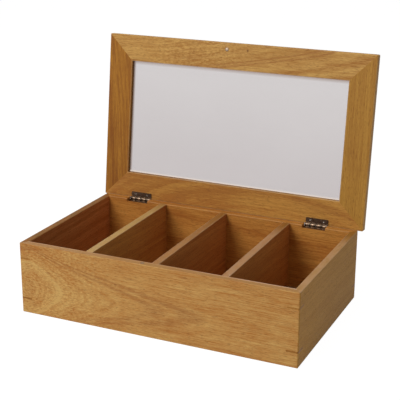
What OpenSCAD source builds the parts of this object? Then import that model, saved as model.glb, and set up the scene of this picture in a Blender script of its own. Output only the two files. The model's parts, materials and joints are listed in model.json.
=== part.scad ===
// Tea bag organizer box: four mitred walls with keyed corners, a rebated base
// panel, three fixed dividers and a framed lid with a clear pane on two hinges.
// Frame: +Z up, +X to the right, the front of the box towards -Y.
// Origin: the middle of the box's underside. The lid is drawn open.

/* [Box walls] */
// outside width of the box, left to right
box_width = 325; // [300:1:380]
// outside depth of the box, front to back
box_depth = 195; // [150:1:240]
// height of the walls
box_height = 82; // [60:1:110]
// thickness of the left and right walls
side_wall = 7.8; // [7:0.1:12]
// thickness of the front and back walls
end_wall = 8.9; // [8.4:0.1:12]
// rounding along the top and bottom edges of the walls
edge_round = 0.8; // [0.4:0.1:1.5]
// rounding of the upright outer corners
corner_round = 1.5; // [0.5:0.1:3]

/* [Corner keys] */
// thickness of the keys let into the saw kerfs across each mitre
key_thickness = 2; // [1.5:0.1:3]
// how far a key shows along each wall from its corner
key_reach = 13; // [9:0.5:15]
// distance of the keys from the walls' top and bottom edges
key_inset = 17.5; // [12:0.5:24]

/* [Base panel] */
// thickness of the base panel, which lies flush in the walls' rebates
base_thickness = 4; // [3:0.5:6]
// how far the base panel reaches under the walls
base_rebate = 3.8; // [2:0.1:4.5]
// play between the base panel's edge and the rebates
base_play = 0.3; // [0.1:0.1:0.6]

/* [Dividers] */
// thickness of each divider
divider_thickness = 8.4; // [6:0.1:10]
// how far a divider's ends are let into the front and back walls
divider_housing = 3; // [1.5:0.5:4]
// height of whole wall left above each stopped housing
housing_stop = 9; // [5:1:20]
// play between a divider's end and the bottom of its housing
divider_play = 0.2; // [0.1:0.1:0.5]
// rounding along a divider's top edges
divider_round = 0.7; // [0.3:0.1:1.5]

/* [Lid frame] */
// thickness of the lid's frame
lid_thickness = 8; // [7.5:0.1:12]
// width of the lid's rails and stiles
frame_width = 31; // [26:0.5:40]
// how far the lid reaches past each side wall
lid_side_overhang = 5; // [2:0.5:8]
// how far the closed lid reaches past the front wall
lid_front_overhang = 3.6; // [1:0.1:8]
// how far the closed lid reaches past the back wall
lid_back_overhang = 0.9; // [0.4:0.1:1]
// gap between the closed lid and the walls' top edges
lid_gap = 0.4; // [0.3:0.1:0.6]
// rounding of the lid's outer long edges
lid_edge_round = 1.4; // [1.4:0.1:2.5]
// rounding of the edges round the window
window_edge_round = 0.6; // [0.3:0.1:1.5]
// rounding of the lid's corners, seen from above
lid_corner_round = 2; // [1:0.5:5]
// lean of the open lid, as its turn from closed
open_angle = 97; // [80:1:110]

/* [Window pane] */
// thickness of the clear pane
pane_thickness = 2; // [1.5:0.1:3]
// how far the pane reaches into the frame's groove
pane_tongue = 4.5; // [3:0.5:7]
// play between the pane's edge and the bottom of its groove
pane_play = 0.5; // [0.2:0.1:1]

/* [Hinges] */
// distance of the left hinge's middle from the box's left side
left_hinge_inset = 47; // [44:0.5:60]
// distance of the right hinge's middle from the box's right side
right_hinge_inset = 50; // [44:0.5:60]
// length of each hinge along the back edge
hinge_length = 27; // [22:1:32]
// width of a leaf, from the pin's axis to its free edge
leaf_width = 7.8; // [7.4:0.1:8.6]
// thickness of a leaf
leaf_thickness = 1.1; // [0.9:0.1:1.3]
// outside diameter of the rolled knuckles
knuckle_diameter = 4.2; // [4:0.1:4.6]
// diameter of the hinge pin
pin_diameter = 2; // [1.6:0.1:2.2]
// radial running clearance of the lid leaf's knuckles on the pin
pin_clearance = 0.05; // [0.03:0.01:0.1]
// gap between one knuckle and the next
knuckle_gap = 0.35; // [0.3:0.05:0.6]
// distance of the pin's axis behind the back wall's face
pin_setback = 1.1; // [1.1:0.1:1.4]
// rounding of a leaf's free corners
leaf_round = 1; // [0.5:0.1:2]
// clearance at each end of a hinge in its notch
notch_play = 0.4; // [0.3:0.1:0.8]
// bevel along the back edge of the notch, under the moving knuckles
notch_bevel = 0.9; // [0.8:0.1:1.5]

/* [Screws] */
// diameter of a screw's countersunk head
screw_head = 3.4; // [2.8:0.1:3.6]
// diameter of a screw's shank
screw_shank = 1.8; // [1.4:0.1:2]
// height of a screw's countersunk head
screw_head_height = 0.9; // [0.6:0.1:0.9]
// length of a screw, from its head to its tip
screw_length = 6.5; // [5:0.5:6.5]
// distance between a leaf's two screws
screw_spacing = 16; // [12:0.5:17]
// distance of the screws from the pin's axis
screw_inset = 4.9; // [4.6:0.1:5.2]
// width of the slots of a screw's cross recess
recess_slot = 0.5; // [0.3:0.1:0.6]
// length of the slots of a screw's cross recess
recess_length = 2; // [1:0.1:2]
// depth of a screw's cross recess
recess_depth = 0.6; // [0.3:0.1:0.7]

/* [Catch] */
// distance of the catch from the middle of the box
catch_x = -12.8; // [-40:0.1:40]
// diameter of the magnet in the front wall
magnet_diameter = 5; // [3:0.5:6]
// depth of the magnet
magnet_depth = 3; // [2:0.5:5]
// diameter of the steel stud's head under the lid
stud_head = 4.6; // [3:0.1:6]
// thickness of the stud's head
stud_head_height = 1; // [0.6:0.1:1.5]
// diameter of the stud's shank
stud_shank = 2; // [1.4:0.1:2.5]
// length of the stud
stud_length = 6; // [4:0.5:6.5]

/* [Hidden] */
$fn = 48;

// number of compartments across the box
compartments = 4;
// number of knuckles along a hinge, taken in turn by the two leaves
knuckles = 4;
// overshoot that carries a cut clear through a face
eps = 0.01;

inner_width = box_width - 2 * side_wall;
inner_depth = box_depth - 2 * end_wall;
divider_pitch = (inner_width + divider_thickness) / compartments;

left_hinge_x = left_hinge_inset - box_width / 2;
right_hinge_x = box_width / 2 - right_hinge_inset;
pin_y = box_depth / 2 + pin_setback;
pin_z = box_height + lid_gap - knuckle_diameter / 2;
notch_floor = pin_z - knuckle_diameter / 2;
notch_length = hinge_length + 2 * notch_play;
knuckle_length = (hinge_length - (knuckles - 1) * knuckle_gap) / knuckles;

lid_bottom = box_height + lid_gap;
lid_width = box_width + 2 * lid_side_overhang;
lid_depth = box_depth + lid_front_overhang + lid_back_overhang;
lid_middle_y = (lid_back_overhang - lid_front_overhang) / 2;
catch_y = (end_wall - box_depth) / 2;

timber = [0.70, 0.50, 0.27];
timber_inside = [0.56, 0.35, 0.17];
timber_dark = [0.52, 0.31, 0.14];
steel = [0.55, 0.53, 0.50];

// ---- shared shapes ----

// what a rounded edge takes off a square corner at the origin
module corner_waste(r) {
    difference() {
        translate([-eps, -eps]) square(r + eps);
        translate([r, r]) circle(r);
    }
}

// plan of a piece mitred at both ends, its outer face along Y = 0
module mitred_plan(length, thickness, mitre, round_over) {
    difference() {
        polygon([[-length / 2, 0], [length / 2, 0],
                 [length / 2 - mitre, thickness], [-length / 2 + mitre, thickness]]);
        for (side = [0, 1]) mirror([side, 0]) translate([-length / 2, 0]) corner_waste(round_over);
    }
}

// a 2D section run along X, its first axis towards +Y and its second up
module run_along_x(length) {
    translate([-length / 2, 0, 0]) rotate([90, 0, 90]) linear_extrude(length) children();
}

// section of a wall: outer face on the left, rounded where hands meet it
module wall_section(thickness) {
    difference() {
        square([thickness, box_height]);
        corner_waste(edge_round);
        translate([0, box_height]) mirror([0, 1]) corner_waste(edge_round);
        translate([thickness, box_height]) rotate(180) corner_waste(edge_round);
    }
}

module mitred_wall(length, thickness, mitre) {
    intersection() {
        run_along_x(length) wall_section(thickness);
        linear_extrude(box_height) mitred_plan(length, thickness, mitre, corner_round);
    }
}

// the rebate that takes the base panel, cut in all four walls at once
module base_recess() {
    reach = 2 * (base_rebate + base_play);
    translate([0, 0, (base_thickness - eps) / 2])
        cube([inner_width + reach, inner_depth + reach, base_thickness + eps], center = true);
}

// a plate let into an upright corner at the origin, as high as a key is thick
module key_plate(overshoot) {
    linear_extrude(key_thickness) polygon([[-overshoot, -overshoot],
        [key_reach + overshoot, -overshoot], [-overshoot, key_reach + overshoot]]);
}

// the kerfs of the keys, two across each corner of the box
module key_kerfs() {
    for (x = [0, 1]) mirror([x, 0, 0]) for (y = [0, 1]) mirror([0, y, 0])
        for (z = [key_inset, box_height - key_inset])
            translate([-box_width / 2, -box_depth / 2, z - key_thickness / 2]) key_plate(eps);
}

// the stopped housings of the dividers' ends, in one wall or the other
module divider_housings() {
    depth = inner_depth + 2 * (divider_housing + divider_play);
    for (i = [-1 : 1]) translate([i * divider_pitch - divider_thickness / 2, -depth / 2, base_thickness])
        cube([divider_thickness, depth, box_height - housing_stop - base_thickness]);
}

// a countersunk wood screw, head down on Z = 0 and pointing along -Z
module screw_body() {
    tip = screw_shank;
    rotate_extrude() polygon([[0, 0], [screw_head / 2, 0], [screw_shank / 2, -screw_head_height],
        [screw_shank / 2, tip - screw_length], [0, -screw_length]]);
}

module screw() {
    difference() {
        screw_body();
        for (turn = [0, 90]) rotate(turn) translate([0, 0, -recess_depth / 2])
            cube([recess_length, recess_slot, recess_depth + eps], center = true);
    }
}

// places something at each of a leaf's two screws
module at_screws() {
    leaf_top = leaf_thickness - knuckle_diameter / 2;
    for (side = [-1, 1]) translate([side * screw_spacing / 2, -screw_inset, leaf_top]) children();
}

// places something at both hinges, on the pins' axis
module at_hinges() {
    for (x = [left_hinge_x, right_hinge_x]) translate([x, pin_y, pin_z]) children();
}

// turns the lid's pieces, drawn closed, back to the open lid
module open_lid() {
    translate([0, pin_y, pin_z]) rotate([-open_angle, 0, 0]) translate([0, -pin_y, -pin_z]) children();
}

// ---- the box ----

module front_wall() {
    color(timber) difference() {
        translate([0, -box_depth / 2, 0]) mitred_wall(box_width, end_wall, side_wall);
        base_recess();
        key_kerfs();
        divider_housings();
        translate([catch_x, catch_y, box_height - magnet_depth])
            cylinder(d = magnet_diameter, h = magnet_depth + eps);
    }
}

// the notch for one hinge, from the pin's axis: right through the wall, with
// its back edge bevelled away under the moving knuckles
module hinge_notch() {
    inner_y = -end_wall - pin_setback - eps;
    outer_y = -pin_setback + eps;
    floor_z = notch_floor - pin_z;
    top_z = box_height - pin_z + eps;
    run_along_x(notch_length) polygon([[inner_y, floor_z], [outer_y - notch_bevel, floor_z],
        [outer_y, floor_z - notch_bevel], [outer_y, top_z], [inner_y, top_z]]);
}

module back_wall() {
    color(timber_inside) difference() {
        translate([0, box_depth / 2, 0]) mirror([0, 1, 0]) mitred_wall(box_width, end_wall, side_wall);
        base_recess();
        key_kerfs();
        divider_housings();
        at_hinges() {
            hinge_notch();
            at_screws() screw_body();
        }
    }
}

module left_wall() {
    color(timber_inside) difference() {
        translate([-box_width / 2, 0, 0]) rotate(-90) mitred_wall(box_depth, side_wall, end_wall);
        base_recess();
        key_kerfs();
    }
}

module right_wall() {
    color(timber) mirror([1, 0, 0]) left_wall();
}

// a corner's key, flush with both walls; right and back are 1 on those sides
module corner_key(right, back, z) {
    color(timber_dark) mirror([right, 0, 0]) mirror([0, back, 0])
        translate([-box_width / 2, -box_depth / 2, z - key_thickness / 2]) difference() {
            key_plate(0);
            translate([0, 0, -eps]) linear_extrude(key_thickness + 2 * eps) corner_waste(corner_round);
        }
}

module key_front_left_lower() corner_key(0, 0, key_inset);
module key_front_left_upper() corner_key(0, 0, box_height - key_inset);
module key_front_right_lower() corner_key(1, 0, key_inset);
module key_front_right_upper() corner_key(1, 0, box_height - key_inset);
module key_back_left_lower() corner_key(0, 1, key_inset);
module key_back_left_upper() corner_key(0, 1, box_height - key_inset);
module key_back_right_lower() corner_key(1, 1, key_inset);
module key_back_right_upper() corner_key(1, 1, box_height - key_inset);

module base_panel() {
    color(timber_inside) translate([0, 0, base_thickness / 2])
        cube([inner_width + 2 * base_rebate, inner_depth + 2 * base_rebate, base_thickness], center = true);
}

// a divider: rounded along its top, shouldered over its stopped housings
module divider() {
    tongue_depth = inner_depth + 2 * divider_housing;
    height = box_height - base_thickness;
    color(timber) translate([0, 0, base_thickness]) {
        rotate(90) run_along_x(inner_depth) difference() {
            translate([-divider_thickness / 2, 0]) square([divider_thickness, height]);
            for (side = [0, 1]) mirror([side, 0]) translate([-divider_thickness / 2, height])
                mirror([0, 1]) corner_waste(divider_round);
        }
        translate([-divider_thickness / 2, -tongue_depth / 2, 0])
            cube([divider_thickness, tongue_depth, height - housing_stop]);
    }
}

module divider_left() translate([-divider_pitch, 0, 0]) divider();
module divider_middle() divider();
module divider_right() translate([divider_pitch, 0, 0]) divider();

// ---- the lid, drawn closed and then turned open ----

// section of a rail or stile: outer edge on the left, pane groove on the right
module frame_section() {
    difference() {
        square([frame_width, lid_thickness]);
        corner_waste(lid_edge_round);
        translate([0, lid_thickness]) mirror([0, 1]) corner_waste(lid_edge_round);
        translate([frame_width, 0]) mirror([1, 0]) corner_waste(window_edge_round);
        translate([frame_width, lid_thickness]) rotate(180) corner_waste(window_edge_round);
        translate([frame_width - pane_tongue - pane_play, (lid_thickness - pane_thickness) / 2])
            square([pane_tongue + pane_play + eps, pane_thickness]);
    }
}

module mitred_bar(length) {
    intersection() {
        run_along_x(length) frame_section();
        linear_extrude(lid_thickness) mitred_plan(length, frame_width, frame_width, lid_corner_round);
    }
}

module closed_lid_place() {
    translate([0, lid_middle_y, lid_bottom]) children();
}

module front_rail_closed() {
    difference() {
        closed_lid_place() translate([0, -lid_depth / 2, 0]) mitred_bar(lid_width);
        stud_closed();
    }
}

module lid_front_rail() {
    color(timber) open_lid() front_rail_closed();
}

module lid_back_rail() {
    color(timber) open_lid() difference() {
        closed_lid_place() translate([0, lid_depth / 2, 0]) mirror([0, 1, 0]) mitred_bar(lid_width);
        at_hinges() mirror([0, 0, 1]) at_screws() screw_body();
    }
}

module left_stile_closed() {
    closed_lid_place() translate([-lid_width / 2, 0, 0]) rotate(-90) mitred_bar(lid_depth);
}

module lid_left_stile() {
    color(timber) open_lid() left_stile_closed();
}

module lid_right_stile() {
    color(timber) open_lid() mirror([1, 0, 0]) left_stile_closed();
}

module window_pane() {
    window_width = lid_width - 2 * frame_width + 2 * pane_tongue;
    window_depth = lid_depth - 2 * frame_width + 2 * pane_tongue;
    color([0.85, 0.84, 0.86, 0.35]) open_lid() closed_lid_place() translate([0, 0, lid_thickness / 2])
        cube([window_width, window_depth, pane_thickness], center = true);
}

// ---- the hinges ----

// One leaf about the pin's axis: a stamped plate with its knuckles rolled up
// from it. It lies below the axis and reaches towards -Y. first is the
// knuckle it starts with, bore the diameter its knuckles are rolled to.
module hinge_leaf(first, bore) {
    radius = knuckle_diameter / 2;
    pitch = knuckle_length + knuckle_gap;
    start = -hinge_length / 2;
    difference() {
        union() {
            translate([0, 0, -radius]) linear_extrude(leaf_thickness) leaf_plan();
            for (i = [first : 2 : knuckles - 1]) translate([start + i * pitch, 0, 0])
                rotate([0, 90, 0]) cylinder(d = knuckle_diameter, h = knuckle_length);
        }
        // room for the other leaf's knuckles
        for (i = [1 - first : 2 : knuckles - 1])
            translate([start + i * pitch - knuckle_gap, -radius - knuckle_gap, -radius - eps])
                cube([knuckle_length + 2 * knuckle_gap, knuckle_diameter + knuckle_gap, knuckle_diameter]);
        // the bore, and the slit where the curl ends on the plate
        translate([start - eps, 0, 0]) rotate([0, 90, 0]) cylinder(d = bore, h = hinge_length + 2 * eps);
        translate([start - eps, -radius - eps, leaf_thickness - radius])
            cube([hinge_length + 2 * eps, radius, knuckle_gap]);
        at_screws() screw_body();
    }
}

// plan of a leaf: square at the pin, rounded at its free corners
module leaf_plan() {
    difference() {
        translate([-hinge_length / 2, -leaf_width]) square([hinge_length, leaf_width]);
        for (side = [0, 1]) mirror([side, 0]) translate([-hinge_length / 2, -leaf_width])
            corner_waste(leaf_round);
    }
}

module box_leaf() {
    color(steel) hinge_leaf(0, pin_diameter);
}

module lid_leaf() {
    color(steel) mirror([0, 0, 1]) hinge_leaf(1, pin_diameter + 2 * pin_clearance);
}

module pin() {
    color(steel) translate([-hinge_length / 2, 0, 0]) rotate([0, 90, 0])
        cylinder(d = pin_diameter, h = hinge_length);
}

module left_hinge_box_leaf() translate([left_hinge_x, pin_y, pin_z]) box_leaf();
module left_hinge_lid_leaf() open_lid() translate([left_hinge_x, pin_y, pin_z]) lid_leaf();
module left_hinge_pin() translate([left_hinge_x, pin_y, pin_z]) pin();
module right_hinge_box_leaf() translate([right_hinge_x, pin_y, pin_z]) box_leaf();
module right_hinge_lid_leaf() open_lid() translate([right_hinge_x, pin_y, pin_z]) lid_leaf();
module right_hinge_pin() translate([right_hinge_x, pin_y, pin_z]) pin();

module box_screws() {
    color(steel) at_hinges() at_screws() screw();
}

module lid_screws() {
    color(steel) open_lid() at_hinges() mirror([0, 0, 1]) at_screws() screw();
}

// ---- the catch ----

module catch_magnet() {
    color([0.56, 0.56, 0.58]) translate([catch_x, catch_y, box_height - magnet_depth])
        cylinder(d = magnet_diameter, h = magnet_depth);
}

// the steel stud, its head flush with the lid's underside
module stud_closed() {
    translate([catch_x, catch_y, lid_bottom]) rotate_extrude() polygon([[0, 0], [stud_head / 2, 0],
        [stud_head / 2, stud_head_height], [stud_shank / 2, stud_head_height],
        [stud_shank / 2, stud_length - stud_shank], [0, stud_length]]);
}

module catch_stud() {
    color([0.72, 0.69, 0.65]) open_lid() stud_closed();
}

front_wall();
back_wall();
left_wall();
right_wall();
key_front_left_lower();
key_front_left_upper();
key_front_right_lower();
key_front_right_upper();
key_back_left_lower();
key_back_left_upper();
key_back_right_lower();
key_back_right_upper();
base_panel();
divider_left();
divider_middle();
divider_right();
lid_front_rail();
lid_back_rail();
lid_left_stile();
lid_right_stile();
window_pane();
left_hinge_box_leaf();
left_hinge_lid_leaf();
left_hinge_pin();
right_hinge_box_leaf();
right_hinge_lid_leaf();
right_hinge_pin();
box_screws();
lid_screws();
catch_magnet();
catch_stud();
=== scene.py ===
"""Finishes a tea bag organizer box: lacquered hardwood, a clear pane and plated hinges."""

import json
import math

import bpy
from mathutils import Matrix, Vector


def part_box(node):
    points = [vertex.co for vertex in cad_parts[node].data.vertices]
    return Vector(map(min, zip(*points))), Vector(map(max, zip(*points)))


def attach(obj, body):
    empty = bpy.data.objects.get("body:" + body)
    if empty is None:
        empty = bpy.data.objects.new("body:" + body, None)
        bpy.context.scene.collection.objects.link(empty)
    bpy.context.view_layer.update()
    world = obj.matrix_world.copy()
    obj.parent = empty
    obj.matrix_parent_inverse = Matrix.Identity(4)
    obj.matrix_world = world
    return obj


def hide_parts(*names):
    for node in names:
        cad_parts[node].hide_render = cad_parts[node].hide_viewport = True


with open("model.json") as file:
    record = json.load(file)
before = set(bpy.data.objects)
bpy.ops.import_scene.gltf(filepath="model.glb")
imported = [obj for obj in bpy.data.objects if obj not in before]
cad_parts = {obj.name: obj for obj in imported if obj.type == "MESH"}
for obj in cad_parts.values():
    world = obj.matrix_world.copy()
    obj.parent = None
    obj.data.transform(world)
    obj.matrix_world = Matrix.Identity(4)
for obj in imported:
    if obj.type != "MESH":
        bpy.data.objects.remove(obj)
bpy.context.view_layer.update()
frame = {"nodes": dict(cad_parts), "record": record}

# ---- the camera ----
# A long lens a little over a metre away looks down at the open box from the
# front and from its right.

camera_place = Vector((0.4636, -0.9882, 0.4879))
camera_round = math.radians(24.663)
camera_rise = math.radians(18.395)
camera_roll = math.radians(0.175)


def into_scene(name, data):
    """A new object in the scene, made from its data."""
    thing = bpy.data.objects.new(name, data)
    bpy.context.scene.collection.objects.link(thing)
    return thing


camera_data = bpy.data.cameras.new("camera")
camera_data.lens = 94.12
camera_data.shift_x = 0.001
camera_data.sensor_width = 36
camera_data.clip_start = 0.05
camera = into_scene("camera", camera_data)
camera.matrix_world = (
    Matrix.Translation(camera_place)
    @ Matrix.Rotation(camera_round, 4, "Z")
    @ Matrix.Rotation(math.pi / 2 - camera_rise, 4, "X")
    @ Matrix.Rotation(camera_roll, 4, "Z")
)
bpy.context.scene.camera = camera

# ---- the four walls ----
# Plain-sawn hardwood boards, mitred at the corners and glued, sanded and
# finished with a satin lacquer. The grain runs along each board. Every board
# has its own figure, cut from its own place in the tree.


def srgb(red, green, blue):
    """A colour as a paint chart gives it, 0 to 255, in the linear values that shaders use."""
    linear = []
    for value in (red, green, blue):
        share = value / 255
        linear.append(share / 12.92 if share <= 0.04045 else ((share + 0.055) / 1.055) ** 2.4)
    return (*linear, 1.0)


def add(tree, kind, feeds=None, **settings):
    """Adds a node with these settings, and feeds its inputs from sockets or plain values."""
    node = tree.nodes.new(kind)
    for name, value in settings.items():
        setattr(node, name, value)
    for key, value in (feeds or {}).items():
        if isinstance(value, bpy.types.NodeSocket):
            tree.links.new(value, node.inputs[key])
        else:
            node.inputs[key].default_value = value
    return node


def calc(tree, operation, *values, clamp=False):
    """One step of arithmetic on numbers."""
    feeds = dict(enumerate(values))
    return add(tree, "ShaderNodeMath", feeds, operation=operation, use_clamp=clamp).outputs[0]


def calc_vector(tree, operation, *values):
    """One step of arithmetic on vectors."""
    node = add(tree, "ShaderNodeVectorMath", dict(enumerate(values)), operation=operation)
    return node.outputs["Value" if operation == "DISTANCE" else "Vector"]


def grow(tree, vector, amount):
    """A vector made longer by an amount."""
    feeds = {0: vector, "Scale": amount}
    return add(tree, "ShaderNodeVectorMath", feeds, operation="SCALE").outputs["Vector"]


def ramp(tree, value, low, high, out_low=0.0, out_high=1.0):
    """A value's range from low to high stretched onto another, and held at its ends."""
    feeds = {"Value": value, "From Min": low, "From Max": high, "To Min": out_low, "To Max": out_high}
    return add(tree, "ShaderNodeMapRange", feeds, clamp=True).outputs["Result"]


def weigh(tree, value, weight, total):
    """Adds a value's swing about one half, times its weight, to a total."""
    return calc(tree, "MULTIPLY_ADD", calc(tree, "SUBTRACT", value, 0.5), weight, total)


def blend_colours(tree, amount, first, second):
    """The second colour laid over the first by an amount, by the mix node's sockets for colours."""
    return add(tree, "ShaderNodeMix", {0: amount, 6: first, 7: second}, data_type="RGBA").outputs[2]


def grain_noise(tree, place, along, across, detail=2.0, rough=0.5):
    """Noise in spots this many millimetres long along the grain and wide across it."""
    stretched = calc_vector(tree, "MULTIPLY", place, (1 / along, 1 / across, 1 / across))
    feeds = {"Vector": stretched, "Scale": 1.0, "Detail": detail, "Roughness": rough}
    return add(tree, "ShaderNodeTexNoise", feeds)


def new_group(name, inputs, outputs):
    """An empty shader group with named sockets, and the sockets at its two ends."""
    group = bpy.data.node_groups.new(name, "ShaderNodeTree")
    for label, kind, value in inputs:
        group.interface.new_socket(label, in_out="INPUT", socket_type=kind).default_value = value
    for label, kind in outputs:
        group.interface.new_socket(label, in_out="OUTPUT", socket_type=kind)
    return group, group.nodes.new("NodeGroupInput").outputs, group.nodes.new("NodeGroupOutput").inputs


def make_timber_figure():
    """Growth rings round the tree's heart, long fibres, short pores and darker streaks.

    The place is in millimetres: X along the grain, Y across the board's face
    and Z through its thickness. The rings close round the heart. The rise and
    the power say how fast they open out along the board from there. Near a
    heart in the face the fibres dive, and are cut short into dots.
    """
    group, given, result = new_group(
        "timber figure",
        [
            ("Place", "NodeSocketVector", (0, 0, 0)),
            ("Heart", "NodeSocketVector", (0, 60, 30)),
            ("Heart Size", "NodeSocketFloat", 20.0),
            ("Rise", "NodeSocketFloat", 0.1),
            ("Power", "NodeSocketFloat", 1.0),
            ("Ring Width", "NodeSocketFloat", 6.0),
            ("Rings", "NodeSocketFloat", 1.6),
            ("Wander", "NodeSocketFloat", 4.0),
            ("Dot Reach", "NodeSocketFloat", 0.0),
            ("Pale Reach", "NodeSocketFloat", 0.0),
            ("Dark Ring", "NodeSocketFloat", 0.0),
            ("Deep End", "NodeSocketFloat", 0.0),
            ("Knot", "NodeSocketVector", (0, 0, 900)),
            ("Contrast", "NodeSocketFloat", 1.0),
            ("Streaks", "NodeSocketFloat", 0.3),
            ("Seed", "NodeSocketFloat", 0.0),
            ("Pale", "NodeSocketColor", srgb(196, 152, 92)),
            ("Deep", "NodeSocketColor", srgb(160, 108, 54)),
            ("Streak", "NodeSocketColor", srgb(148, 88, 40)),
            ("Pore", "NodeSocketColor", srgb(112, 66, 30)),
        ],
        [("Color", "NodeSocketColor"), ("Roughness", "NodeSocketFloat"), ("Height", "NodeSocketFloat")],
    )
    seed_step = (137.0, 59.0, 83.0)
    seeded = calc_vector(group, "ADD", given["Place"], grow(group, seed_step, given["Seed"]))

    # the grain wanders a little, in long waves and in short ones
    middle = (0.5, 0.5, 0.5)
    short_share = (0.2, 0.2, 0.2)
    long_noise = grain_noise(group, seeded, 150, 38).outputs["Color"]
    short_noise = grain_noise(group, seeded, 26, 8).outputs["Color"]
    long_wave = calc_vector(group, "SUBTRACT", long_noise, middle)
    short_wave = calc_vector(group, "SUBTRACT", short_noise, middle)
    wave = calc_vector(group, "MULTIPLY_ADD", short_wave, short_share, long_wave)
    sway = grow(group, wave, given["Wander"])
    swayed = calc_vector(group, "ADD", given["Place"], sway)

    # growth rings, by the distance from the heart
    from_heart = calc_vector(group, "SUBTRACT", swayed, given["Heart"])
    away = add(group, "ShaderNodeSeparateXYZ", {0: from_heart}).outputs
    size_squared = calc(group, "MULTIPLY", given["Heart Size"], given["Heart Size"])
    reach = calc(group, "MULTIPLY_ADD", away["X"], away["X"], size_squared)
    slowing = calc(group, "POWER", reach, calc(group, "MULTIPLY_ADD", given["Power"], 0.5, -0.5))
    climb = calc(group, "MULTIPLY", given["Rise"], calc(group, "MULTIPLY", away["X"], slowing))
    depth = calc(group, "ADD", away["Z"], climb)
    depth_squared = calc(group, "MULTIPLY", depth, depth)
    radius = calc(group, "SQRT", calc(group, "MULTIPLY_ADD", away["Y"], away["Y"], depth_squared))
    ring_count = calc(group, "ADD", calc(group, "DIVIDE", radius, given["Ring Width"]), given["Seed"])
    ring_feeds = {"W": ring_count, "Scale": 1.0, "Detail": 3.5, "Roughness": 0.65}
    rings = add(group, "ShaderNodeTexNoise", ring_feeds, noise_dimensions="1D").outputs["Fac"]

    # fibres lie along the grain, and are dots where they dive
    fibre_place = calc_vector(group, "ADD", seeded, sway)
    fibre = grain_noise(group, fibre_place, 60, 1.1, 4.0, 0.7).outputs["Fac"]
    dash = grain_noise(group, fibre_place, 8, 1.3, 3.0, 0.7).outputs["Fac"]
    dot = grain_noise(group, fibre_place, 3.6, 1.7, 3.0, 0.7).outputs["Fac"]
    on_ring = {"X": away["X"], "Y": radius, "Z": given["Seed"]}
    ring_place = add(group, "ShaderNodeCombineXYZ", on_ring).outputs[0]
    line = grain_noise(group, ring_place, 20, 1.6, 4.0, 0.7).outputs["Fac"]
    no_dots = calc(group, "MULTIPLY", given["Dot Reach"], 1.5)
    all_dots = calc(group, "MULTIPLY", given["Dot Reach"], 0.5)
    near = ramp(group, calc(group, "ABSOLUTE", away["X"]), no_dots, all_dots)
    near = calc(group, "MULTIPLY", near, calc(group, "GREATER_THAN", given["Dot Reach"], 0.0))
    dashes = weigh(group, line, 0.3, weigh(group, fibre, 0.78, weigh(group, dash, 0.35, 0.5)))
    dots = weigh(group, line, 0.65, weigh(group, dot, 0.9, 0.5))
    fine = add(group, "ShaderNodeMix", {0: near, 2: dashes, 3: dots}).outputs[0]
    pore = ramp(group, grain_noise(group, fibre_place, 5, 0.5, 1.0).outputs["Fac"], 0.6, 0.66)
    blotch = grain_noise(group, seeded, 60, 20, 2.0).outputs["Fac"]
    streak = ramp(group, grain_noise(group, ring_place, 110, 4.5, 3.0, 0.55).outputs["Fac"], 0.54, 0.72)

    # a pair of rings, one a little wider than the other, may be darker, most above the heart
    wider_ring = 1.05
    ring_edge, ring_core = 1.1, 0.2
    off_ring = calc(group, "ABSOLUTE", calc(group, "SUBTRACT", radius, given["Dark Ring"]))
    past_next = calc(group, "MULTIPLY_ADD", given["Dark Ring"], -wider_ring, radius)
    off_next = calc(group, "ABSOLUTE", past_next)
    dark_ring = ramp(group, calc(group, "MINIMUM", off_ring, off_next), ring_edge, ring_core)
    dark_ring = calc(group, "MULTIPLY", dark_ring, ramp(group, dash, 0.3, 0.5, 0.35, 1.0))
    dark_ring = calc(group, "MULTIPLY", dark_ring, ramp(group, away["Y"], -8.0, 8.0, 0.7, 1.0))

    # within the pale reach of the heart the wood is paler but for its middle, most in one ring
    rim_blur = 8.0
    pale_ring_inset, pale_ring_half = 5.0, 2.2
    heart_edge, heart_core = 16.0, 4.0
    inward = calc(group, "SUBTRACT", given["Pale Reach"], radius)
    sapwood = ramp(group, inward, -rim_blur, rim_blur)
    off_pale_ring = calc(group, "ABSOLUTE", calc(group, "SUBTRACT", inward, pale_ring_inset))
    pale_ring = ramp(group, off_pale_ring, pale_ring_half, 0.0)
    dark_heart = calc(group, "MULTIPLY", ramp(group, radius, heart_edge, heart_core), sapwood)

    # it is deeper from about one and a half reaches out, and may be at the heart's end of the board
    deeper_from, deepest_from = 1.45, 1.95
    end_from, end_full = 42.0, 12.0
    knot_edge, knot_core = 1.7, 0.6
    outside = calc(group, "DIVIDE", radius, calc(group, "MAXIMUM", given["Pale Reach"], 0.001))
    has_reach = calc(group, "GREATER_THAN", given["Pale Reach"], 0.0)
    outside = calc(group, "MULTIPLY", ramp(group, outside, deeper_from, deepest_from), has_reach)
    heart_end = ramp(group, away["X"], end_from, end_full)
    knot = ramp(group, calc_vector(group, "DISTANCE", swayed, given["Knot"]), knot_edge, knot_core)

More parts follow.
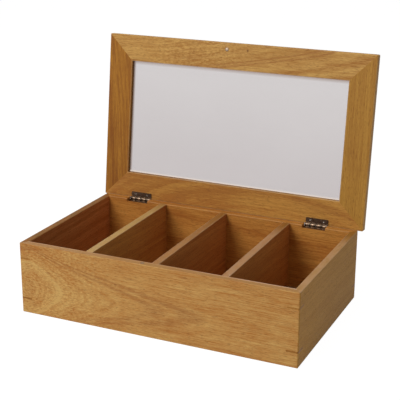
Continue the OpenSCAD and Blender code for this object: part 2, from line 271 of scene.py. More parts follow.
    # the tone runs from the pale wood at 0 to the deep wood at 1, each mark with its share
    tone = weigh(group, rings, given["Rings"], 0.5)
    tone = weigh(group, fine, 2.9, tone)
    tone = weigh(group, blotch, 0.6, tone)
    for mark, share in ((outside, 0.18), (heart_end, given["Deep End"]), (sapwood, -0.28),
                        (pale_ring, -0.6), (dark_heart, 0.1)):
        tone = calc(group, "MULTIPLY_ADD", mark, share, tone)
    swing = calc(group, "MULTIPLY", calc(group, "SUBTRACT", tone, 0.5), given["Contrast"])
    tone = calc(group, "ADD", swing, 0.5, clamp=True)
    colour = blend_colours(group, tone, given["Pale"], given["Deep"])
    for mark, share, stain in ((streak, given["Streaks"], given["Streak"]),
                               (dark_ring, 0.5, given["Streak"]),
                               (pore, 0.45, given["Pore"]),
                               (knot, 0.8, given["Pore"])):
        colour = blend_colours(group, calc(group, "MULTIPLY", mark, share), colour, stain)
    open_wood = calc(group, "MULTIPLY_ADD", pore, 0.4, fine)
    group.links.new(colour, result["Color"])
    group.links.new(ramp(group, open_wood, 0.2, 1.1, 0.46, 0.62), result["Roughness"])
    group.links.new(calc(group, "SUBTRACT", calc(group, "MULTIPLY", fine, 0.5), pore), result["Height"])
    return group


def make_worn_and_highlit_edges():
    """Masks of a board's narrow faces, for a painted sheen, and of its long edges, sanded and painted
    lighter.
    """
    group, given, result = new_group(
        "worn edges",
        [
            ("Place", "NodeSocketVector", (0, 0, 0)),
            ("Half Size", "NodeSocketVector", (100, 40, 4)),
            ("Width", "NodeSocketFloat", 1.2),
        ],
        [("Amount", "NodeSocketFloat"), ("Narrow Face", "NodeSocketFloat")],
    )
    from_middle = calc_vector(group, "ABSOLUTE", given["Place"])
    inset = calc_vector(group, "SUBTRACT", given["Half Size"], from_middle)
    inset = add(group, "ShaderNodeSeparateXYZ", {0: inset}).outputs
    edge = calc(group, "MULTIPLY", ramp(group, inset["Y"], given["Width"], 0.0),
                ramp(group, inset["Z"], given["Width"], 0.0))
    face_from, face_full = 0.5, 0.1
    patchy = ramp(group, grain_noise(group, given["Place"], 14, 3).outputs["Fac"], 0.3, 0.7, 0.5, 1.0)
    group.links.new(calc(group, "MULTIPLY", edge, patchy), result["Amount"])
    speckle = grain_noise(group, given["Place"], 16, 5, 4.0, 0.65).outputs["Fac"]
    grained = ramp(group, speckle, 0.35, 0.65, 0.5, 1.0)
    narrow_face = ramp(group, inset["Y"], face_from, face_full)
    group.links.new(calc(group, "MULTIPLY", narrow_face, grained), result["Narrow Face"])
    return group


timber_figure = make_timber_figure()
worn_and_highlit_edges = make_worn_and_highlit_edges()
lacquer_ior = 1.48
# the long edges are paled partly as sanding wear and partly as a painted highlight
sanded_and_highlit_wood = srgb(236, 206, 162)
# a painted shade of brown on the narrow faces, where their painted sheen fades out
shaded_narrow_face = srgb(152, 102, 44)
# the painted highlight strip comes in from the first place to the second, through the board and along it
strip_depths = (-1.2, -2.6)
strip_stretch = (20, 135)
strip_strength = (0.3, 1.0)
millimetre = 0.001


def start_material(name):
    """A new material, its tree and its surface, and a place on the object for its patterns."""
    material = bpy.data.materials.new(name)
    material.use_nodes = True
    tree = material.node_tree
    place = add(tree, "ShaderNodeTexCoord").outputs["Object"]
    return material, tree, tree.nodes["Principled BSDF"], place


def cover(tree, surface, colour, finish, strength, distance):
    """Gives a surface its colour, and a group's roughness and relief."""
    relief = {"Height": finish.outputs["Height"], "Strength": strength, "Distance": distance}
    bump = add(tree, "ShaderNodeBump", relief)
    tree.links.new(colour, surface.inputs["Base Color"])
    tree.links.new(finish.outputs["Roughness"], surface.inputs["Roughness"])
    tree.links.new(bump.outputs["Normal"], surface.inputs["Normal"])


def timber_material(name, middle, turn, half_size, edge=None, fade=None, inner_highlight=None,
                    gloss=0.2, worn=0.25, **values):
    """Lacquered timber. The board's middle and turn bring a place on it to the board's own axes.

    The edge is the colour of the board's narrow faces, where that differs, a painted
    sheen and painted light and shade on them, and fade the two places along the board
    between which that painted sheen comes in over a painted shade of brown. The inner
    edge is the colour of a painted highlight strip along a narrow face's inner side,
    most at the board's right. Worn is how far the long edges are paled, partly by
    sanding and partly by a painted highlight.
    Other values go to the timber's figure.
    """
    material, tree, surface, place = start_material(name)
    surface.inputs["IOR"].default_value = lacquer_ior
    surface.inputs["Specular IOR Level"].default_value = gloss
    axes = {"Vector": place, "Location": middle, "Rotation": turn, "Scale": [millimetre] * 3}
    placed = add(tree, "ShaderNodeMapping", axes, vector_type="TEXTURE").outputs[0]
    figure = add(tree, "ShaderNodeGroup", {"Place": placed}, node_tree=timber_figure)
    for label, value in values.items():
        figure.inputs[label.replace("_", " ").title()].default_value = value
    sanded = add(tree, "ShaderNodeGroup", {"Place": placed, "Half Size": half_size}, node_tree=worn_and_highlit_edges)
    colour = figure.outputs["Color"]
    if edge:
        on_board = add(tree, "ShaderNodeSeparateXYZ", {0: placed}).outputs
        # the narrow faces' painted sheen, faded along the board into a painted shade of brown
        if fade:
            edge = blend_colours(tree, ramp(tree, on_board["X"], *fade), shaded_narrow_face, edge)
        # a painted highlight strip along the narrow face's inner side
        if inner_highlight:
            strip = calc(tree, "MULTIPLY", ramp(tree, on_board["Z"], *strip_depths),
                         ramp(tree, on_board["X"], *strip_stretch, *strip_strength))
            edge = blend_colours(tree, strip, edge, inner_highlight)
        colour = blend_colours(tree, sanded.outputs["Narrow Face"], colour, edge)
    # the long edges paled partly by sanding and partly by a painted highlight
    paled = calc(tree, "MULTIPLY", sanded.outputs["Amount"], worn)
    colour = blend_colours(tree, paled, colour, sanded_and_highlit_wood)
    cover(tree, surface, colour, figure, strength=0.4, distance=0.0001)
    return material


def dress(node, material):
    """Gives a CAD piece its finish."""
    mesh = frame["nodes"][node].data
    mesh.materials.clear()
    mesh.materials.append(material)


def middle_of(node):
    """The middle of a CAD piece's box."""
    low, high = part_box(node)
    return (low + high) / 2


def turned(*steps):
    """A turn made of steps of degrees about one axis each, the first one done last."""
    whole = Matrix.Identity(3)
    for angle, axis in steps:
        whole = whole @ Matrix.Rotation(math.radians(angle), 3, axis)
    return whole.to_euler()


facing_front = turned((90, "X"))
facing_side = turned((90, "Z"), (90, "X"))
lying_flat = turned()
# half sizes along the grain, across the face and through the thickness
half_long_wall = (162.5, 41, 4.45)
half_short_wall = (97.5, 41, 3.9)

# a board's edge colour is painted sheen, light and shade on its narrow faces
dress("front_wall", timber_material(
    "front board", middle_of("front_wall"), facing_front, half_long_wall, edge=srgb(189, 138, 80),
    inner_highlight=srgb(232, 192, 156), worn=0.0,
    heart=(-147.5, -10, 0), rise=12.2, power=0.243, ring_width=11.0, rings=0.5, wander=4.0, seed=3.1,
    dot_reach=95.0, pale_reach=35.0, dark_ring=45.4, deep_end=0.22, streaks=0.15,
    pale=srgb(208, 166, 97), deep=srgb(175, 113, 50),
))
dress("back_wall", timber_material(
    "back board", middle_of("back_wall"), facing_front, half_long_wall,
    heart=(40, 60, 40), rise=0.08, ring_width=14.0, rings=0.9, seed=11.7, streaks=0.45,
    pale=srgb(210, 149, 70), deep=srgb(168, 102, 40), streak=srgb(150, 80, 28),
))
dress("left_wall", timber_material(
    "left board", middle_of("left_wall"), facing_side, half_short_wall, edge=srgb(140, 98, 44), worn=0.2,
    heart=(0, -70, 30), rise=0.1, ring_width=8.0, seed=23.3, contrast=0.7, streaks=0.2, gloss=0.06,
    pale=srgb(208, 140, 82), deep=srgb(168, 99, 49),
))
dress("right_wall", timber_material(
    "right board", middle_of("right_wall"), facing_side, half_short_wall, edge=srgb(206, 160, 116),
    fade=(80, 45), worn=0.4,
    heart=(30, 80, 50), rise=0.06, ring_width=9.0, seed=31.9, contrast=0.45, streaks=0.1, gloss=0.06,
    pale=srgb(199, 149, 66), deep=srgb(175, 120, 46),
))

# ---- the corner keys ----
# Thin wooden plates glued into saw kerfs across each mitre and sanded flush,
# so that their grain shows a little darker than the walls'.

key_woods = (
    ("lower", srgb(164, 110, 46), srgb(138, 86, 32)),
    ("upper", srgb(178, 124, 56), srgb(152, 100, 42)),
)
# a half size past the keys' own, which keeps the paled edges, wear and painted highlight, off them
past_key = (20, 20, 9)
for end in ("front", "back"):
    for side in ("left", "right"):
        slant = 45 if (end, side) in (("front", "right"), ("back", "left")) else -45
        across = turned((slant, "Z"))
        for level, pale, deep in key_woods:
            node = f"key_{end}_{side}_{level}"
            dress(node, timber_material(
                node.replace("_", " "), middle_of(node), across, past_key,
                heart=(0, 40, 9), ring_width=2.5, wander=1.0, seed=5.0 + len(node), pale=pale, deep=deep,
            ))

# ---- the base panel ----
# One thin board of the same timber. It is glued into the walls' rebates, flush
# with their lower edges.

# a half size past the panel's own, which keeps the paled edges, wear and painted highlight, off its hidden
# edges
past_base = (160, 95, 8)

dress("base_panel", timber_material(
    "base board", middle_of("base_panel"), lying_flat, past_base,
    heart=(0, 30, 60), rise=0.05, ring_width=8.0, seed=47.0,
    pale=srgb(172, 126, 80), deep=srgb(138, 92, 54),
))

# ---- the dividers ----
# Three boards with rounded tops, let into stopped housings in the front and
# back walls and glued.

# side, top colour, where the top fades, pale, deep end: the tops are a painted sheen over painted shade
divider_looks = (
    ("left", srgb(204, 167, 104), (110, 50), srgb(211, 154, 80), -0.45),
    ("middle", srgb(180, 130, 80), (75, -25), srgb(209, 146, 80), 0.0),
    ("right", srgb(194, 148, 106), (75, 40), srgb(209, 146, 80), 0.0),
)
half_divider = (92, 39, 4.2)
for index, (side, top, fade, pale, deep_end) in enumerate(divider_looks):
    name = f"divider_{side}"
    dress(name, timber_material(
        f"{side} divider", middle_of(name), facing_side, half_divider, edge=top, fade=fade,
        heart=(20 * index, 60, 30), rise=0.08, ring_width=7.0, seed=60.0 + 7.7 * index,
        contrast=0.65, streaks=0.2, worn=0.45, deep_end=deep_end,
        pale=pale, deep=srgb(171, 104, 48),
    ))

# ---- the lid's frame ----
# Four flat bars of the same timber, mitred and glued, with a groove for the
# pane. The grain runs along each bar.

lid_joint = frame["record"]["behaviour"]["joints"][0]
lid_turn = -lid_joint["range_deg"][1]
lying_across = turned((lid_turn, "X"))
lying_deep = turned((lid_turn, "X"), (90, "Z"))
half_rail = (167.5, 15.5, 4)
half_stile = (99.75, 15.5, 4)

dress("lid_front_rail", timber_material(
    "front rail", middle_of("lid_front_rail"), lying_across, half_rail,
    heart=(-50, -40, -30), rise=0.2, ring_width=9.0, seed=71.0, wander=9.0,
    dot_reach=60.0, dark_ring=61.0, knot=(13.6, -6.6, -4),
    pale=srgb(207, 161, 88), deep=srgb(168, 114, 50),
))
# the back rail's and right stile's long edges are paled more, mostly a painted highlight by the window
dress("lid_back_rail", timber_material(
    "back rail", middle_of("lid_back_rail"), lying_across, half_rail,
    heart=(-20, 40, 20), rise=0.35, ring_width=8.0, seed=83.0, wander=7.0, deep_end=0.4, worn=0.6,
    pale=srgb(203, 149, 69), deep=srgb(169, 110, 46),
))
dress("lid_left_stile", timber_material(
    "left stile", middle_of("lid_left_stile"), lying_deep, half_stile, edge=srgb(206, 144, 68),
    heart=(-20, 60, 30), rise=0.23, ring_width=9.0, rings=2.8, seed=97.0, deep_end=-0.2, streaks=0.8,
    pale=srgb(171, 114, 36), deep=srgb(134, 78, 18), streak=srgb(128, 69, 18),
))
dress("lid_right_stile", timber_material(
    "right stile", middle_of("lid_right_stile"), lying_deep, half_stile,
    heart=(0, 60, 30), rise=0.05, ring_width=8.0, seed=103.0, deep_end=0.28, streaks=0.2, contrast=0.75,
    worn=0.6, pale=srgb(192, 143, 61), deep=srgb(161, 110, 42),
))

# ---- the window pane ----
# A sheet of clear acrylic, held in the frame's groove on all four sides. It
# greys what lies behind it a little.

tongue = 0.0045
pane_low, pane_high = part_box("window_pane")
# between these heights the pane's painted reflection runs from darker at the foot to paler at the top
painted_reflection_low, painted_reflection_high = pane_low.z + 0.01, pane_high.z - 0.02
opening_left = pane_low.x + tongue
opening_foot = pane_low.z + tongue
opening_top = pane_high.z - tongue
top_shade = 0.0045
side_shade_starts, side_shade_deepest, side_shade_ends = 0.001, 0.0018, 0.0041
foot_light_full, foot_light_ends = 0.001, 0.0032

pane, pane_tree, acrylic, pane_place = start_material("clear acrylic")
acrylic.inputs["IOR"].default_value = 1.49
acrylic.inputs["Transmission Weight"].default_value = 1.0
on_pane = add(pane_tree, "ShaderNodeSeparateXYZ", {0: pane_place}).outputs
clouds = {"Vector": pane_place, "Scale": 9.0, "Detail": 2.0}
cloudy = add(pane_tree, "ShaderNodeTexNoise", clouds).outputs["Fac"]
# painted reflection: the pane is darker towards its foot and paler towards its top, clouded a little
painted_rise = ramp(pane_tree, on_pane["Z"], painted_reflection_low, painted_reflection_high)
painted_rise = weigh(pane_tree, cloudy, 0.5, painted_rise)
pane_colour = blend_colours(pane_tree, painted_rise, srgb(193, 186, 186), srgb(206, 201, 201))

# painted shade on the pane along the top and the left of its opening, where the frame shades it, and
# painted light along the foot
top_painted_shade = ramp(pane_tree, on_pane["Z"], opening_top - top_shade, opening_top)
deepest = opening_left + side_shade_deepest
side_painted_shade = calc(pane_tree, "MINIMUM",
              ramp(pane_tree, on_pane["X"], opening_left + side_shade_ends, deepest),
              ramp(pane_tree, on_pane["X"], opening_left + side_shade_starts, deepest))
foot_painted_light = ramp(pane_tree, on_pane["Z"], opening_foot + foot_light_ends, opening_foot + foot_light_full)
for mark, colour in ((top_painted_shade, srgb(158, 138, 128)),
                     (side_painted_shade, srgb(118, 94, 80)),
                     (foot_painted_light, srgb(222, 208, 196))):
    pane_colour = blend_colours(pane_tree, mark, pane_colour, colour)
pane_tree.links.new(pane_colour, acrylic.inputs["Base Color"])
pane_tree.links.new(ramp(pane_tree, cloudy, 0.3, 0.7, 0.015, 0.03), acrylic.inputs["Roughness"])
lamps_through = add(pane_tree, "ShaderNodeBsdfTransparent", {"Color": srgb(235, 232, 232)}).outputs[0]
pane_path = add(pane_tree, "ShaderNodeLightPath").outputs
straight = calc(pane_tree, "MAXIMUM", pane_path["Is Shadow Ray"], pane_path["Is Diffuse Ray"])
pane_mix = add(pane_tree, "ShaderNodeMixShader", {0: straight, 1: acrylic.outputs[0], 2: lamps_through})
pane_tree.links.new(pane_mix.outputs[0], pane_tree.nodes["Material Output"].inputs["Surface"])
dress("window_pane", pane)

# ---- the hinges ----
# Two small butt hinges of plated steel, let into notches in the back wall and
# in the lid's back rail. Each leaf is a stamped plate whose knuckles are rolled
# round the pin, and a hinge's two leaves are alike, one turned to face the other.

pin_place = Vector(lid_joint["pos_m"])
hinge_places = (-115.5, 112.5)
hinge_length = 27.0
leaf_width = 7.8
leaf_thickness = 1.1
knuckle_count = 4
knuckle_diameter = 4.2
knuckle_gap = 0.35
knuckle_turn = math.radians(288)
pin_diameter = 2.0
screw_spacing = 16.0
screw_inset = 4.9
leaf_top = leaf_thickness - knuckle_diameter / 2
leaf_crease = 25


def make_metal_finish():
    """Plated metal: fine rolling marks, faint smudges and duller spots."""
    group, given, result = new_group(
        "metal finish",
        [
            ("Place", "NodeSocketVector", (0, 0, 0)),
            ("Bright", "NodeSocketColor", srgb(190, 184, 176)),
            ("Dull", "NodeSocketColor", srgb(150, 142, 134)),
            ("Smooth", "NodeSocketFloat", 0.12),
            ("Rough", "NodeSocketFloat", 0.3),
        ],
        [("Color", "NodeSocketColor"), ("Roughness", "NodeSocketFloat"), ("Height", "NodeSocketFloat")],
    )
    smudge = ramp(group, grain_noise(group, given["Place"], 3.0, 3.0, 3.0).outputs["Fac"], 0.35, 0.7)
    scratch = grain_noise(group, given["Place"], 6.0, 0.12, 1.0).outputs["Fac"]
    worn = calc(group, "MULTIPLY_ADD", scratch, 0.3, calc(group, "MULTIPLY", smudge, 0.7))
    group.links.new(blend_colours(group, worn, given["Bright"], given["Dull"]), result["Color"])
    group.links.new(ramp(group, worn, 0.1, 0.9, given["Smooth"], given["Rough"]), result["Roughness"])
    group.links.new(scratch, result["Height"])
    return group


metal_finish = make_metal_finish()


def metal_material(name, bright, dull, smooth, rough):
    """A metal with its finish, its place on the object in millimetres."""
    material, tree, surface, place = start_material(name)
    surface.inputs["Metallic"].default_value = 1.0
    axes = {"Vector": place, "Scale": [millimetre] * 3}
    placed = add(tree, "ShaderNodeMapping", axes, vector_type="TEXTURE").outputs[0]
    feeds = {"Place": placed, "Bright": bright, "Dull": dull, "Smooth": smooth, "Rough": rough}
    finish = add(tree, "ShaderNodeGroup", feeds, node_tree=metal_finish)
    cover(tree, surface, finish.outputs["Color"], finish, strength=0.2, distance=0.00002)
    return material


hinge_steel = metal_material("hinge steel", srgb(120, 101, 84), srgb(88, 72, 58), 0.18, 0.3)


def new_shape(name, sizes, finish):
    """An empty geometry tree with named sizes in millimetres, its inputs, and a way to end it."""
    tree = bpy.data.node_groups.new(name, "GeometryNodeTree")
    tree.interface.new_socket("Geometry", in_out="OUTPUT", socket_type="NodeSocketGeometry")
    for label, value in sizes:
        socket = tree.interface.new_socket(label, in_out="INPUT", socket_type="NodeSocketFloat")
        socket.default_value = value

    def close(geometry):
        """Ends the tree with this shape in its finish."""
        whole = add(tree, "GeometryNodeRealizeInstances", {0: geometry}).outputs[0]
        dressed = add(tree, "GeometryNodeSetMaterial", {"Geometry": whole, "Material": finish}).outputs[0]
        add(tree, "NodeGroupOutput", {0: dressed})

    return tree, tree.nodes.new("NodeGroupInput").outputs, close


def minus(tree, value):
    """A number's opposite."""
    return calc(tree, "MULTIPLY", value, -1.0)


def half_of(tree, value):
    """Half of a number."""
    return calc(tree, "MULTIPLY", value, 0.5)


def vector_of(tree, x=0.0, y=0.0, z=0.0):
    """Three numbers as one vector."""
    return add(tree, "ShaderNodeCombineXYZ", {0: x, 1: y, 2: z}).outputs[0]


def by_index(tree, *values):
    """A different value for each point, by its number."""
    node = tree.nodes.new("GeometryNodeIndexSwitch")
    node.data_type = "FLOAT"
    while len(node.index_switch_items) < len(values):
        node.index_switch_items.new()
    tree.links.new(add(tree, "GeometryNodeInputIndex").outputs[0], node.inputs["Index"])
    for number, value in enumerate(values):
        if isinstance(value, bpy.types.NodeSocket):
            tree.links.new(value, node.inputs[number + 1])
        else:
            node.inputs[number + 1].default_value = value
    return node.outputs[0]


tip_radius = 0.05


def screw_blank(tree, head, head_height, shank, length):
    """A countersunk screw before its recess is struck, head down on Z = 0 and pointing along -Z."""
    dots = add(tree, "GeometryNodeMeshLine", {"Count": 4}).outputs[0]
    shank_end = calc(tree, "SUBTRACT", shank, length)
    heights = by_index(tree, 0.0, minus(tree, head_height), shank_end, minus(tree, length))
    profile = {0: dots, "Position": vector_of(tree, z=heights)}
    line = add(tree, "GeometryNodeSetPosition", profile).outputs[0]
    path = add(tree, "GeometryNodeMeshToCurve", {0: line}).outputs[0]
    radii = by_index(tree, half_of(tree, head), half_of(tree, shank), half_of(tree, shank), tip_radius)
    path = add(tree, "GeometryNodeSetCurveRadius", {0: path, "Radius": radii}).outputs[0]
    circle = add(tree, "GeometryNodeCurvePrimitiveCircle", {"Resolution": 32, "Radius": 1.0}).outputs[0]
    return add(tree, "GeometryNodeCurveToMesh", {0: path, 1: circle, "Fill Caps": True}).outputs[0]


def at_points(tree, geometry, start, end):
    """The same thing at two points."""
    ends = {"Count": 2, "Start Location": start, "Offset": end}
    line = add(tree, "GeometryNodeMeshLine", ends, mode="END_POINTS").outputs[0]
    return add(tree, "GeometryNodeInstanceOnPoints", {"Points": line, "Instance": geometry}).outputs[0]


def at_hinges(tree, geometry, given):
    """The same thing at both hinges."""
    return at_points(tree, geometry, vector_of(tree, given["Left"]), vector_of(tree, given["Right"]))


def at_screws(tree, geometry, given, top):
    """The same thing at both screws of a leaf."""
    right = half_of(tree, given["Spacing"])
    back = minus(tree, given["Inset"])
    first = vector_of(tree, minus(tree, right), back, top)
    return at_points(tree, geometry, first, vector_of(tree, right, back, top))


def make_leaf():
    """A pair of leaves about the pins' axis, each with its own two knuckles of the four."""
    tree, given, close = new_shape("hinge leaf", [
        ("Left", hinge_places[0]), ("Right", hinge_places[1]), ("Length", hinge_length),
        ("Width", leaf_width), ("Thickness", leaf_thickness), ("Knuckle", knuckle_diameter),
        ("Gap", knuckle_gap), ("Notch Gap", 0.1), ("Corner", 1.0), ("Inner Corner", 0.1),
        ("Spacing", screw_spacing), ("Inset", screw_inset), ("Hole", 3.6), ("Hole Depth", 0.9),
        ("Shank Hole", 1.9), ("Lap", 0.5), ("Soft Edge", 0.12), ("Turn", knuckle_turn),
    ], hinge_steel)
    radius = half_of(tree, given["Knuckle"])
    top = calc(tree, "SUBTRACT", given["Thickness"], radius)
    root = calc(tree, "ADD", radius, given["Notch Gap"])

    # the plate, rounded at its free corners
    deep = calc(tree, "SUBTRACT", given["Width"], root)
    size = {"Width": given["Length"], "Height": deep}
    outline = add(tree, "GeometryNodeCurvePrimitiveQuadrilateral", size).outputs[0]
    here = add(tree, "GeometryNodeInputPosition").outputs[0]
    in_depth = add(tree, "ShaderNodeSeparateXYZ", {0: here}).outputs["Y"]
    is_free = calc(tree, "LESS_THAN", in_depth, 0.0)
    choice = {"Switch": is_free, "False": given["Inner Corner"], "True": given["Corner"]}
    corner = add(tree, "GeometryNodeSwitch", choice, input_type="FLOAT").outputs[0]
    rounding = {"Curve": outline, "Radius": corner, "Count": 6}
    outline = add(tree, "GeometryNodeFilletCurve", rounding, mode="POLY").outputs[0]
    sheet = add(tree, "GeometryNodeFillCurve", {"Curve": outline}).outputs[0]
    lift = {"Mesh": sheet, "Offset": (0, 0, 1), "Individual": False, "Offset Scale": given["Thickness"]}
    raised = add(tree, "GeometryNodeExtrudeMesh", lift).outputs[0]
    under = add(tree, "GeometryNodeFlipFaces", {0: sheet}).outputs[0]
    plate = add(tree, "GeometryNodeJoinGeometry")
    tree.links.new(raised, plate.inputs[0])
    tree.links.new(under, plate.inputs[0])
    plate = add(tree, "GeometryNodeMergeByDistance", {0: plate.outputs[0], "Distance": 0.001}).outputs[0]
    plate_y = calc(tree, "SUBTRACT", calc(tree, "MULTIPLY", deep, -0.5), root)
    shift = {0: plate, "Translation": vector_of(tree, 0.0, plate_y, minus(tree, radius))}
    plate = add(tree, "GeometryNodeTransform", shift).outputs[0]

    # a knuckle: a tongue of the plate that runs on and rolls up round the pin
    bend = calc(tree, "SUBTRACT", radius, half_of(tree, given["Thickness"]))
    straight = calc(tree, "ADD", root, given["Lap"])
    whole = calc(tree, "MULTIPLY_ADD", bend, given["Turn"], straight)
    steps = 48
    dots = add(tree, "GeometryNodeMeshLine", {"Count": steps + 1}).outputs[0]
    index = add(tree, "GeometryNodeInputIndex").outputs[0]
    along = calc(tree, "MULTIPLY", calc(tree, "DIVIDE", index, steps), whole)
    gone = calc(tree, "SUBTRACT", along, straight)
    angle = calc(tree, "DIVIDE", calc(tree, "MAXIMUM", gone, 0.0), bend)
    roll_y = calc(tree, "MULTIPLY_ADD", bend, calc(tree, "SINE", angle), calc(tree, "MINIMUM", gone, 0.0))
    roll_z = calc(tree, "MULTIPLY", minus(tree, bend), calc(tree, "COSINE", angle))
    rolled = {0: dots, "Position": vector_of(tree, 0.0, roll_y, roll_z)}
    line = add(tree, "GeometryNodeSetPosition", rolled).outputs[0]
    path = add(tree, "GeometryNodeMeshToCurve", {0: line}).outputs[0]
    all_knuckles = calc(tree, "MULTIPLY_ADD", given["Gap"], 1.0 - knuckle_count, given["Length"])
    knuckle_length = calc(tree, "DIVIDE", all_knuckles, knuckle_count)
    section = {"Width": knuckle_length, "Height": given["Thickness"]}
    strip = add(tree, "GeometryNodeCurvePrimitiveQuadrilateral", section).outputs[0]
    softening = {"Curve": strip, "Radius": given["Soft Edge"], "Count": 2}
    strip = add(tree, "GeometryNodeFilletCurve", softening, mode="POLY").outputs[0]
    knuckle = add(tree, "GeometryNodeCurveToMesh", {0: path, 1: strip, "Fill Caps": True}).outputs[0]
    start = half_of(tree, calc(tree, "SUBTRACT", knuckle_length, given["Length"]))
    third = calc(tree, "MULTIPLY_ADD", calc(tree, "ADD", knuckle_length, given["Gap"]), 2.0, start)
    pair = at_points(tree, knuckle, vector_of(tree, start), vector_of(tree, third))
    own = add(tree, "GeometryNodeRealizeInstances", {0: pair}).outputs[0]

    # the countersunk holes, cut from a hair above the plate to well below it
    joined = add(tree, "GeometryNodeMeshBoolean", {"Self Intersection": True},
                 operation="UNION", solver="EXACT")
    tree.links.new(plate, joined.inputs["Mesh 2"])
    tree.links.new(own, joined.inputs["Mesh 2"])
    cutter = screw_blank(tree, given["Hole"], given["Hole Depth"], given["Shank Hole"], length=4.0)
    cutters = at_screws(tree, cutter, given, calc(tree, "ADD", top, 0.02))
    holes = add(tree, "GeometryNodeRealizeInstances", {0: cutters}).outputs[0]
    drilled = add(tree, "GeometryNodeMeshBoolean", {"Mesh 1": joined.outputs[0], "Mesh 2": holes},
                  operation="DIFFERENCE", solver="EXACT").outputs[0]
    close(at_hinges(tree, drilled, given))
    return tree


def settle(mesh, place, crease):
    """Brings a mesh in millimetres to its place, smooth but for creases sharper than this."""
    mesh.transform(place @ Matrix.Scale(millimetre, 4))
    mesh.shade_smooth()
    mesh.set_sharp_from_angle(angle=math.radians(crease))


def grown(name, tree, place, **sizes):
    """Runs a shape with these sizes once, and keeps the result as a plain mesh in its place."""
    piece = into_scene(name, bpy.data.meshes.new(name))
    modifier = piece.modifiers.new("shape", "NODES")
    modifier.node_group = tree
    for socket in tree.interface.items_tree:
        if socket.in_out == "INPUT":
            size_name = socket.name.lower().replace(" ", "_")
            modifier[socket.identifier] = sizes.get(size_name, socket.default_value)
    ready = piece.evaluated_get(bpy.context.evaluated_depsgraph_get())
    mesh = bpy.data.meshes.new_from_object(ready)
    piece.modifiers.remove(modifier)
    piece.data = mesh
    settle(mesh, place, leaf_crease)
    return piece


on_box = Matrix.Translation(pin_place)
lid_opened = Matrix.Translation(pin_place) @ Matrix.Rotation(math.radians(lid_turn), 4, "X")
on_lid = lid_opened @ Matrix.Rotation(math.pi, 4, "Y")
turned_places = {"left": -hinge_places[1], "right": -hinge_places[0]}

leaf = make_leaf()
box_leaves = grown("box_hinge_leaves", leaf, on_box)
lid_leaves = grown("lid_hinge_leaves", leaf, on_lid, **turned_places)
for piece, body in ((box_leaves, "box"), (lid_leaves, "lid")):
    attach(piece, body)
    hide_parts(f"left_hinge_{body}_leaf", f"right_hinge_{body}_leaf")

# ---- the hinge pins ----
# Plain steel rods held fast in the box leaf's knuckles, their ends turned to
# a small chamfer. The lid's knuckles turn on them.

turned_crease = 35
sides = 40


def lathed(name, profile, place, finish):
    """A turned piece: radius and height in millimetres, from the middle of its top to that of its foot."""
    corners = [(0.0, 0.0, profile[0][1])]
    for radius, height in profile[1:-1]:
        for side in range(sides):
            angle = 2 * math.pi * side / sides
            corners.append((radius * math.cos(angle), radius * math.sin(angle), height))
    corners.append((0.0, 0.0, profile[-1][1]))
    rings = len(profile) - 2
    faces = []
    for side in range(sides):
        after = (side + 1) % sides
        faces.append((0, 1 + side, 1 + after))
        for ring in range(rings - 1):
            upper, lower = 1 + ring * sides, 1 + (ring + 1) * sides
            faces.append((upper + side, lower + side, lower + after, upper + after))
        last = 1 + (rings - 1) * sides
        faces.append((len(corners) - 1, last + after, last + side))
    mesh = bpy.data.meshes.new(name)
    mesh.from_pydata(corners, [], faces)
    settle(mesh, place, turned_crease)
    mesh.materials.append(finish)
    return into_scene(name, mesh)


pin_radius = pin_diameter / 2
pin_chamfer = 0.25
pin_profile = [(0, 0), (pin_radius - pin_chamfer, 0), (pin_radius, -pin_chamfer),
               (pin_radius, pin_chamfer - hinge_length), (pin_radius - pin_chamfer, -hinge_length),
               (0, -hinge_length)]
lying = Matrix.Rotation(math.pi / 2, 4, "Y")
for name, x in zip(("left_hinge_pin", "right_hinge_pin"), hinge_places):
    pin_end = Vector(((x + hinge_length / 2) * millimetre, 0, 0))
    along_pin = Matrix.Translation(pin_place + pin_end) @ lying
    pin = lathed(f"{name}_rod", pin_profile, along_pin, hinge_steel)
    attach(pin, "box")
    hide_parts(name)

# ---- the screws ----
# Eight plated countersunk wood screws with cross recesses, two through each
# leaf, their heads level with it.

screw_steel = metal_material("screw steel", srgb(186, 180, 172), srgb(144, 136, 126), 0.16, 0.34)


def make_screws():
    """Two screws in each of the two leaves on one side of the pins."""
    tree, given, close = new_shape("hinge screws", [
        ("Left", hinge_places[0]), ("Right", hinge_places[1]), ("Head", 3.4), ("Head Height", 0.9),
        ("Shank", 1.8), ("Screw Length", 6.5), ("Slot", 0.5), ("Slot Length", 2.0),
        ("Slot Depth", 0.6), ("Top", leaf_top), ("Spacing", screw_spacing), ("Inset", screw_inset),
    ], screw_steel)
    blank = screw_blank(tree, given["Head"], given["Head Height"], given["Shank"], given["Screw Length"])
    struck = add(tree, "GeometryNodeMeshBoolean", {"Mesh 1": blank},
                 operation="DIFFERENCE", solver="EXACT")
    twice_deep = calc(tree, "MULTIPLY", given["Slot Depth"], 2.0)
    for size in (vector_of(tree, given["Slot Length"], given["Slot"], twice_deep),
                 vector_of(tree, given["Slot"], given["Slot Length"], twice_deep)):
        punch = add(tree, "GeometryNodeMeshCube", {"Size": size}).outputs[0]
        tree.links.new(punch, struck.inputs["Mesh 2"])
    close(at_hinges(tree, at_screws(tree, struck.outputs[0], given, given["Top"]), given))
    return tree


screws = make_screws()
box_screws = grown("box_hinge_screws", screws, on_box)
lid_screws = grown("lid_hinge_screws", screws, on_lid, **turned_places)
for piece, body in ((box_screws, "box"), (lid_screws, "lid")):
    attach(piece, body)
    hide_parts(f"{body}_screws")

# ---- the catch ----
# A round plated magnet pressed into the top of the front wall, and a steel
# stud with a low domed head in the lid that it holds.

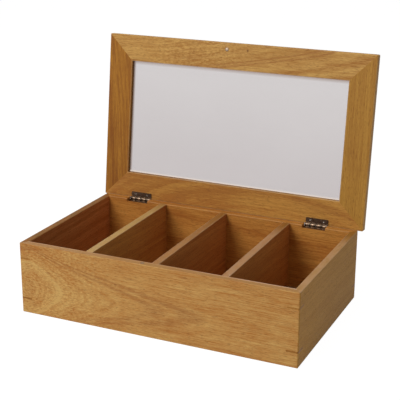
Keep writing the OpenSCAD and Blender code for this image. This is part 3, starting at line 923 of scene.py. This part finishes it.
magnet_plate = metal_material("magnet plating", srgb(156, 128, 100), srgb(134, 108, 84), 0.5, 0.65)
stud_steel = metal_material("stud steel", srgb(166, 146, 126), srgb(134, 116, 98), 0.5, 0.65)
catch_middle = middle_of("catch_magnet")
magnet_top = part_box("catch_magnet")[1].z

magnet_profile = [(0, 0), (2.2, 0), (2.5, -0.25), (2.5, -3), (0, -3)]
magnet_place = Matrix.Translation((catch_middle.x, catch_middle.y, magnet_top))
magnet = lathed("magnet_disc", magnet_profile, magnet_place, magnet_plate)
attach(magnet, "box")
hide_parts("catch_magnet")

lid_gap = 0.0004
closed_stud = Matrix.Translation((catch_middle.x, catch_middle.y, magnet_top + lid_gap))
head_down = Matrix.Rotation(math.pi, 4, "X")
stud_place = lid_opened @ Matrix.Translation(-pin_place) @ closed_stud @ head_down
stud_profile = [(0, 0.25), (0.8, 0.21), (1.5, 0.1), (2.0, -0.08), (2.3, -0.3), (2.3, -1),
                (1, -1), (1, -4), (0, -6)]
stud = lathed("catch_stud_head", stud_profile, stud_place, stud_steel)
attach(stud, "lid")
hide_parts("catch_stud")

# ---- the studio ----
# A pale floor that runs on out of sight, a big soft lamp at the front left, a
# faint one overhead and an even sky.

white = (1.0, 1.0, 1.0, 1.0)


def seen_directly(tree):
    """1 for what the camera sees, also by way of metal and glass, and 0 for light on the object."""
    path = add(tree, "ShaderNodeLightPath").outputs
    seen = calc(tree, "MAXIMUM", path["Is Camera Ray"], path["Is Glossy Ray"])
    return calc(tree, "MAXIMUM", seen, path["Is Transmission Ray"])


floor_half = 6.0
floor_drop = 0.0002
floor_grey = (0.8, 0.8, 0.8, 1.0)
floor_mesh = bpy.data.meshes.new("floor")
floor_mesh.from_pydata([(-floor_half, -floor_half, 0), (floor_half, -floor_half, 0),
                        (floor_half, floor_half, 0), (-floor_half, floor_half, 0)], [], [(0, 1, 2, 3)])
floor = into_scene("floor", floor_mesh)
floor_material = bpy.data.materials.new("pale floor")
floor_material.use_nodes = True
floor_tree = floor_material.node_tree
floor_tree.nodes.clear()
matt = add(floor_tree, "ShaderNodeBsdfDiffuse", {"Color": floor_grey}).outputs[0]
glow = add(floor_tree, "ShaderNodeEmission", {"Color": white, "Strength": 1.2}).outputs[0]
glow_share = calc(floor_tree, "MULTIPLY", seen_directly(floor_tree), 0.8)
floor_mix = add(floor_tree, "ShaderNodeMixShader", {0: glow_share, 1: matt, 2: glow}).outputs[0]
add(floor_tree, "ShaderNodeOutputMaterial", {"Surface": floor_mix})
floor_mesh.materials.append(floor_material)
floor.location = (0, 0, -floor_drop)

world = bpy.data.worlds.new("sky")
world.use_nodes = True
bpy.context.scene.world = world
sky_tree = world.node_tree
sky = sky_tree.nodes["Background"]
sky_strength = 0.22
strength = calc(sky_tree, "MULTIPLY_ADD", seen_directly(sky_tree), 1.0 - sky_strength, sky_strength)
sky_tree.links.new(strength, sky.inputs["Strength"])
sky.inputs["Color"].default_value = white


def soft_lamp(name, width, power, place, turn=None):
    """A wide round lamp at a place, which faces straight down unless it is turned."""
    data = bpy.data.lights.new(name, "AREA")
    data.shape = "DISK"
    data.size = width
    data.energy = power
    into_scene(name, data).matrix_world = Matrix.Translation(place) @ (turn or Matrix.Identity(4))


key_place = Vector((-0.62, -1.55, 1.15))
key_target = Vector((0, 0, 0.1))
to_target = (key_place - key_target).to_track_quat("Z", "Y").to_matrix().to_4x4()
soft_lamp("key", 0.9, 22.0, key_place, to_target)
soft_lamp("top lamp", 1.0, 3.0, (0.1, 0, 1.5))

bpy.context.scene.view_settings.view_transform = "Standard"
